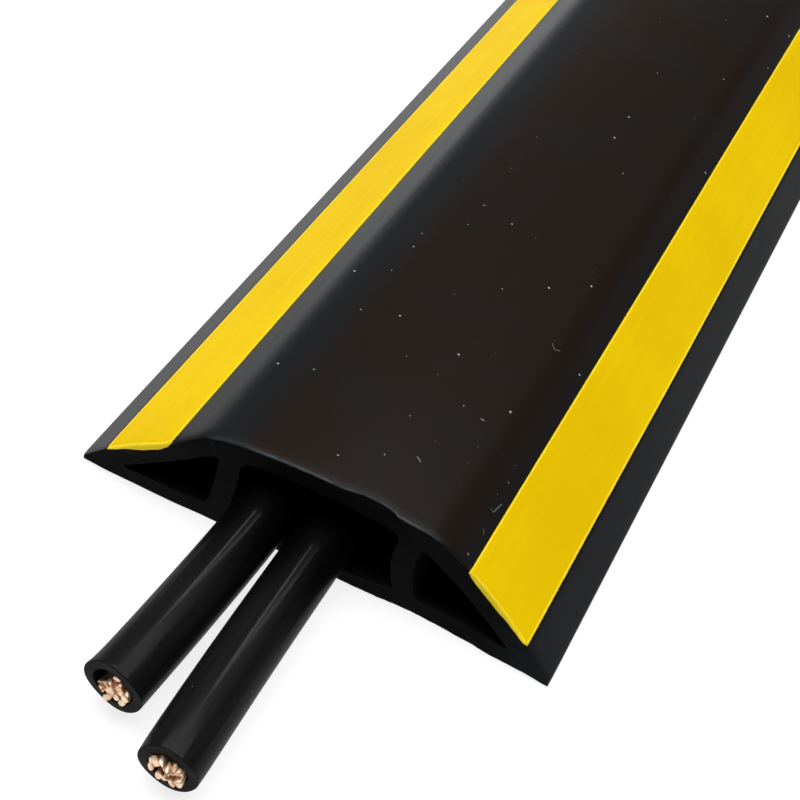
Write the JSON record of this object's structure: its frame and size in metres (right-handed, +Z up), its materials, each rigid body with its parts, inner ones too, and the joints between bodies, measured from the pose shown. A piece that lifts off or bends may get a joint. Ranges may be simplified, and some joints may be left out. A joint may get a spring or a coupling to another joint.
{
  "type": "cable protector ramp",
  "caption": "Low floor ramp of black PVC with yellow edge strips, hollow side chambers and a slit channel that covers power cables.",
  "frame": {"origin": "on the floor, in the middle of the ramp's underside", "axes": "+X across the ramp to the right, +Y along it away from the end with the long cable stubs, +Z up"},
  "size_m": [0.083, 0.5703, 0.0204],
  "materials": {
    "black_pvc": "satin black flexible PVC, extruded",
    "yellow_pvc": "glossy signal yellow PVC strip",
    "cable_jacket": "smooth black cable jacket, semi-gloss",
    "copper": "bare bright copper wire, cut ends"
  },
  "bodies": {
    "ramp": {"ramp_body": "black_pvc", "strip_left": "yellow_pvc", "strip_right": "yellow_pvc"},
    "flap_left": {"floor_flap_left": "black_pvc"},
    "flap_right": {"floor_flap_right": "black_pvc"},
    "cable_left": {"jacket_left": "cable_jacket", "strand_left_01": "copper", "strand_left_02": "copper", "strand_left_03": "copper", "strand_left_04": "copper", "strand_left_05": "copper", "strand_left_06": "copper", "strand_left_07": "copper", "strand_left_08": "copper", "strand_left_09": "copper", "strand_left_10": "copper", "strand_left_11": "copper", "strand_left_12": "copper", "strand_left_13": "copper", "strand_left_14": "copper", "strand_left_15": "copper", "strand_left_16": "copper", "strand_left_17": "copper", "strand_left_18": "copper", "strand_left_19": "copper"},
    "cable_right": {"jacket_right": "cable_jacket", "strand_right_01": "copper", "strand_right_02": "copper", "strand_right_03": "copper", "strand_right_04": "copper", "strand_right_05": "copper", "strand_right_06": "copper", "strand_right_07": "copper", "strand_right_08": "copper", "strand_right_09": "copper", "strand_right_10": "copper", "strand_right_11": "copper", "strand_right_12": "copper", "strand_right_13": "copper", "strand_right_14": "copper", "strand_right_15": "copper", "strand_right_16": "copper", "strand_right_17": "copper", "strand_right_18": "copper", "strand_right_19": "copper"}
  },
  "joints": [
    {"name": "flap_left_bend", "type": "hinge", "parent": "ramp", "child": "flap_left", "pos_m": [-0.0141, 0, 0.0003], "axis": [0, 1, 0], "range_deg": [0, 50], "stiffness_Nm_per_rad": 0.8},
    {"name": "flap_right_bend", "type": "hinge", "parent": "ramp", "child": "flap_right", "pos_m": [0.0141, 0, 0.0003], "axis": [0, -1, 0], "range_deg": [0, 50], "stiffness_Nm_per_rad": 0.8},
    {"name": "cable_left_pull", "type": "slide", "parent": "ramp", "child": "cable_left", "axis": [0, -1, 0], "range_m": [0, 0.1]},
    {"name": "cable_right_pull", "type": "slide", "parent": "ramp", "child": "cable_right", "axis": [0, -1, 0], "range_m": [0, 0.1]}
  ]
}
